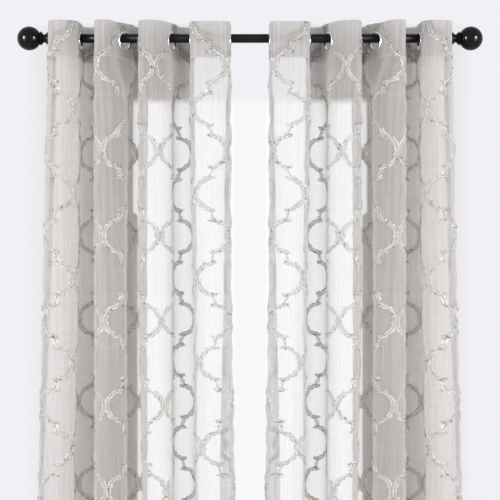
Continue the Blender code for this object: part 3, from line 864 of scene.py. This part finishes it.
metal_wear, wear_in, wear_out = new_group(
    "metal_wear",
    [("Place", "NodeSocketVector", None), ("Scale", "NodeSocketFloat", 300.0)],
    [("Smudge", "NodeSocketFloat"), ("Grain", "NodeSocketFloat")],
)
for label, detail, factor in (("Smudge", 3.0, 0.35), ("Grain", 6.0, 3.0)):
    finer = maths(metal_wear, "MULTIPLY", wear_in.outputs["Scale"], factor)
    metal_wear.links.new(noise(metal_wear, wear_in.outputs["Place"], finer, detail), wear_out.inputs[label])


def object_coordinates(tree):
    return new_node(tree, "TexCoord").outputs["Object"]


def worn_finish(name, settings, dark, light, roughness, grain_depth, grain_strength):
    """A hard smooth finish: smudges vary its colour and its gloss, over a fine grain."""
    made, tree, to_surface = new_material(name)
    wear = placed_group(tree, metal_wear, object_coordinates(tree))
    to_surface(new_node(tree, "BsdfPrincipled", settings | {
        "Base Color": colour_between(tree, wear.outputs["Smudge"], dark, light),
        "Roughness": ramp(tree, wear.outputs["Smudge"], 0.3, 0.7, *roughness),
        "Normal": bump(tree, wear.outputs["Grain"], grain_depth, grain_strength),
    }))
    return made


nickel = worn_finish("nickel_plate", {"Metallic": 1.0}, PLATE_DARK, PLATE_LIGHT, (0.10, 0.19), 0.00005, 0.2)


def turned_by_hand(name, outline, sides, finish):
    """A turned piece about Z: a ring of points is extruded and resized from step to step of its outline."""
    bpy.ops.object.select_all(action="DESELECT")
    first_radius, first_height = outline[0]
    bpy.ops.mesh.primitive_circle_add(vertices=sides, radius=first_radius, location=(0.0, 0.0, 0.0))
    made = bpy.context.object
    made.name = made.data.name = name
    bpy.ops.object.mode_set(mode="EDIT")
    bpy.ops.mesh.select_all(action="SELECT")
    bpy.ops.transform.translate(value=(0.0, 0.0, first_height))
    for (radius, height), (next_radius, next_height) in zip(outline, outline[1:]):
        bpy.ops.mesh.extrude_region_move(TRANSFORM_OT_translate={"value": (0.0, 0.0, next_height - height)})
        factor = next_radius / radius
        bpy.ops.transform.resize(value=(factor, factor, 1.0), center_override=(0.0, 0.0, next_height))
    bpy.ops.object.mode_set(mode="OBJECT")
    made.data.materials.append(finish)
    return made


def close_rims(piece, angle, bridged=False):
    """Bridges or fills the open rims of a turned piece, points its faces outwards and shades it smooth."""
    bpy.ops.object.select_all(action="DESELECT")
    piece.select_set(True)
    bpy.context.view_layer.objects.active = piece
    bpy.ops.object.mode_set(mode="EDIT")
    bpy.ops.mesh.select_all(action="SELECT")
    bpy.ops.mesh.remove_doubles(threshold=0.000001)
    bpy.ops.mesh.select_all(action="DESELECT")
    bpy.ops.mesh.select_non_manifold()
    if bridged:
        bpy.ops.mesh.bridge_edge_loops()
    else:
        bpy.ops.mesh.fill_holes(sides=0)
    bpy.ops.mesh.select_all(action="SELECT")
    bpy.ops.mesh.normals_make_consistent(inside=False)
    bpy.ops.object.mode_set(mode="OBJECT")
    bpy.ops.object.shade_smooth_by_angle(angle=angle)


# The outline's other half is its mirror image about the cloth's middle.
ring_outline = RING_OUTLINE + tuple((radius, -height) for radius, height in reversed(RING_OUTLINE[1:]))
pattern_ring = turned_by_hand("pattern_ring", ring_outline, RING_SIDES, nickel)
close_rims(pattern_ring, math.radians(50), bridged=True)

for side_name, flip in (("left", 1.0), ("right", -1.0)):
    for number, lean in enumerate(RING_LEANS, start=1):
        node = f"eyelet_{side_name}_{number}"
        low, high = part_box(node)
        turn = math.radians(lean if number % 2 == 1 else -lean)
        ring = bpy.data.objects.new(f"ring_{side_name}_{number}", pattern_ring.data.copy())
        scene.collection.objects.link(ring)
        # The ring's own axis is square to the cloth, which here stands at its lean to the rod.
        normal = Vector((flip * math.sin(turn), math.cos(turn), 0.0))
        turned = normal.to_track_quat("Z", "Y").to_matrix().to_4x4()
        ring.data.transform(Matrix.Translation((low + high) / 2) @ turned)
        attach(ring, "root")
        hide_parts(node)
bpy.data.objects.remove(pattern_ring)


# ---- rod and ball ends ----
# A one-inch round rod and its two turned ends, all in satin black enamel. The ends are plugged into the rod:
# a collar against the rod's end, a waist, a flange, a groove, and the ball.
ROD_SIDES = 72
ROD_EDGE = 0.0004
ENAMEL = ({"Specular IOR Level": 0.11}, (0.0035, 0.0035, 0.0042), (0.0065, 0.0065, 0.0075))
enamel = worn_finish("black_enamel", *ENAMEL, (0.12, 0.19), 0.00004, 0.25)
# The rod's is dulled where the rings slide.
rubbed_enamel = worn_finish("rubbed_enamel", *ENAMEL, (0.36, 0.46), 0.00004, 0.25)


def lay_along_rod(piece, side, start):
    """Turns a piece made about Z so that its axis lies along the rod, from the given distance outwards."""
    turn = Matrix.Rotation(side * math.radians(90), 4, "Y")
    piece.data.transform(Matrix.Translation((side * start, 0.0, 0.0)) @ turn)


low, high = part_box("rod")
rod_radius = (high.z - low.z) / 2
rod_half = (high.x - low.x) / 2
rod_outline = (
    (rod_radius - 3 * ROD_EDGE, -rod_half), (rod_radius - ROD_EDGE, -rod_half),
    (rod_radius, -rod_half + ROD_EDGE), (rod_radius, 0.0), (rod_radius, rod_half - ROD_EDGE),
    (rod_radius - ROD_EDGE, rod_half), (rod_radius - 3 * ROD_EDGE, rod_half),
)
rod = turned_by_hand("black_rod", rod_outline, ROD_SIDES, rubbed_enamel)
close_rims(rod, math.radians(50))
lay_along_rod(rod, 1.0, 0.0)
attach(rod, "root")
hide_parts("rod")

# From the rod's end outwards: collar, waist, flange, groove and ball. Radius and distance along the axis.
FINIAL_SIDES = 72
COLLAR = ((0.0174, 0.0000), (0.0184, 0.0006), (0.0186, 0.0014), (0.0184, 0.0024), (0.0172, 0.0031))
WAIST_RADIUS = 0.0115
WAIST_END = 0.0220
WAIST_STEPS = 14
FLANGE = (
    (0.0192, 0.0222), (0.0200, 0.0228), (0.0200, 0.0236),
    (0.0194, 0.0241), (0.0165, 0.0243), (0.0160, 0.0252),
)
BALL_START = 0.0260
BALL_RADIUS = 0.0342
BALL_STEPS = 40
GROOVE_RADIUS = 0.0165       # where the ball grows out of the groove
waist = []
for k in range(1, WAIST_STEPS):
    t = k / WAIST_STEPS
    rim = COLLAR[-1][0] + (FLANGE[0][0] - COLLAR[-1][0]) * t
    radius = WAIST_RADIUS + (rim - WAIST_RADIUS) * math.cos(math.pi * t) ** 2
    waist.append((radius, COLLAR[-1][1] + (WAIST_END - COLLAR[-1][1]) * t))
ball_centre = BALL_START + math.sqrt(BALL_RADIUS**2 - GROOVE_RADIUS**2)
ball_turn = math.pi - math.asin(GROOVE_RADIUS / BALL_RADIUS)
ball = []
for k in range(BALL_STEPS, 0, -1):
    angle = ball_turn * k / BALL_STEPS
    ball.append((BALL_RADIUS * math.sin(angle), ball_centre + BALL_RADIUS * math.cos(angle)))
finial_outline = COLLAR + tuple(waist) + FLANGE + tuple(ball)
for side_name, side in (("left", -1.0), ("right", 1.0)):
    low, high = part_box(f"finial_{side_name}")
    finial = turned_by_hand(f"ball_end_{side_name}", finial_outline, FINIAL_SIDES, enamel)
    close_rims(finial, math.radians(40))
    lay_along_rod(finial, side, min(abs(low.x), abs(high.x)))
    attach(finial, "root")
    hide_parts(f"finial_{side_name}")


# ---- floor, backdrop and light ----
# A plain pale floor, and a plain backdrop close behind the folds. The backdrop is matt where the folds shade
# it, and that matt paper is painted darker and browner than the rest, a painted shade on top of the shade the
# folds cast. It is evened out above them, beside them and between them. Its lower middle glows, so that the
# sheer cloth is seen against light. The light is soft and comes from all round the front, with a lamp to each
# side.
FLOOR_GAP = 0.015            # how far the cloth hangs clear of it
FLOOR_HEIGHT = TOP_HEIGHT - PANEL_DROP - FLOOR_GAP
STAGE_WIDTH = 14.0
FLOOR_MIDDLE = -3.0
BACKDROP_BEHIND = 0.135
BACKDROP_TALL = 5.0
# Where the glow's edges are, and half of the width over which each fades.
GLOW_HALF_WIDTH = 0.3455
GLOW_LOW_HALF_WIDTH = 0.332  # below the height where it narrows
GLOW_NARROWS = -0.493
GLOW_SIDE_EDGE = 0.003
GLOW_TOP = -0.166
GLOW_TOP_EDGE = 0.010
GLOW_STRENGTH = (0.045, 0.062, 0.95, 1.12)  # two distances from the middle, and its strengths there
# The backdrop goes from matt at the first of each two, a distance or a height, to evened out at the second.
EVEN_MIDDLE = (0.180, 0.160)
EVEN_TOP = (0.035, 0.065)
EVEN_SIDES = (0.52, 0.66)
# painted shade: the matt paper behind the panels is darker and browner than the evened parts
MATT_SHADE_COLOUR = (0.555, 0.520, 0.498, 1.0)
EVEN_COLOUR = (0.870, 0.878, 0.910, 1.0)
GLOW_COLOUR = (0.975, 0.99, 1.0, 1.0)
FLOOR_PAINT = {"Roughness": 0.6, "Base Color": (0.78, 0.78, 0.79, 1.0)}
FRONT_POWER = 32.5
GLEAM_POWER = 150.0
STUDIO_COLOUR = (0.97, 0.98, 1.0, 1.0)
STUDIO_STRENGTH = 0.89

bpy.ops.object.select_all(action="DESELECT")
bpy.ops.mesh.primitive_plane_add(size=1.0, location=(0.0, FLOOR_MIDDLE, FLOOR_HEIGHT))
floor = bpy.context.object
floor.name = "floor"
floor.scale = (STAGE_WIDTH, 2 * (BACKDROP_BEHIND - FLOOR_MIDDLE), 1.0)
floor_paint, tree, to_surface = new_material("pale_floor")
board = new_node(tree, "BsdfPrincipled", FLOOR_PAINT)
to_surface(board)
floor.data.materials.append(floor_paint)

bpy.ops.mesh.primitive_plane_add(size=1.0, location=(0.0, BACKDROP_BEHIND, FLOOR_HEIGHT + BACKDROP_TALL / 2),
                                 rotation=(math.radians(90), 0.0, 0.0))
backdrop = bpy.context.object
backdrop.name = "backdrop"
backdrop.scale = (STAGE_WIDTH, BACKDROP_TALL, 1.0)
bpy.ops.object.transform_apply(location=True, rotation=True, scale=True)
paper, tree, to_surface = new_material("glowing_backdrop")
apart = separated(tree, object_coordinates(tree))
height = apart["Z"]
from_middle = maths(tree, "ABSOLUTE", apart["X"])
half_width = ramp(tree, height, GLOW_NARROWS, GLOW_NARROWS - GLOW_TOP_EDGE,
                  GLOW_HALF_WIDTH, GLOW_LOW_HALF_WIDTH)
past_side = maths(tree, "SUBTRACT", from_middle, half_width)
glow_share = maths(tree, "MULTIPLY", ramp(tree, past_side, GLOW_SIDE_EDGE, -GLOW_SIDE_EDGE),
                   ramp(tree, height, GLOW_TOP + GLOW_TOP_EDGE, GLOW_TOP - GLOW_TOP_EDGE))
even_share = maths(tree, "MAXIMUM", ramp(tree, from_middle, *EVEN_MIDDLE), ramp(tree, height, *EVEN_TOP))
even_share = maths(tree, "MAXIMUM", even_share, ramp(tree, from_middle, *EVEN_SIDES))
# The matt part behind the panels, with its painted shade.
matt = new_node(tree, "BsdfDiffuse", {"Color": MATT_SHADE_COLOUR})
evened = new_node(tree, "Emission", {"Color": EVEN_COLOUR})
strength = ramp(tree, from_middle, *GLOW_STRENGTH)
shine = new_node(tree, "Emission", {"Color": GLOW_COLOUR, "Strength": strength})
face = mix_shaders(tree, even_share, matt, evened)
face = mix_shaders(tree, glow_share, face, shine)
# From behind it is clear, so that the back of the curtains can be seen.
open_air = new_node(tree, "BsdfTransparent")
behind = new_node(tree, "NewGeometry").outputs["Backfacing"]
to_surface(mix_shaders(tree, behind, face, open_air))
backdrop.data.materials.append(paper)


def soft_light(name, place, aim, width, height, power):
    bpy.ops.object.light_add(type="AREA", location=place)
    light = bpy.context.object
    light.name = name
    light.data.shape = "RECTANGLE"
    light.data.size, light.data.size_y = width, height
    light.data.energy = power
    light.data.spread = math.radians(120)
    light.rotation_euler = (Vector(aim) - Vector(place)).to_track_quat("-Z", "Y").to_euler()
    return light


for side_name, side in (("left", -1.0), ("right", 1.0)):
    soft_light(f"front_{side_name}", (side * 2.4, -2.0, -0.4), (side * 0.3, 0.0, -0.7), 1.2, 2.0, FRONT_POWER)
    # Seen only in the shiny enamel and nickel, as a small bright spot on each side of them.
    gleam = soft_light(f"gleam_{side_name}", (side * 3.1, -2.6, 0.25), (0.0, 0.0, 0.0), 0.7, 1.1, GLEAM_POWER)
    gleam.visible_diffuse = False
    gleam.visible_transmission = False

world = bpy.data.worlds.new("studio")
scene.world = world
world.use_nodes = True
world.node_tree.nodes["Background"].inputs["Color"].default_value = STUDIO_COLOUR
world.node_tree.nodes["Background"].inputs["Strength"].default_value = STUDIO_STRENGTH
scene.view_settings.view_transform = "Standard"
scene.cycles.transparent_max_bounces = 32  # a line of sight can cross many sheer layers
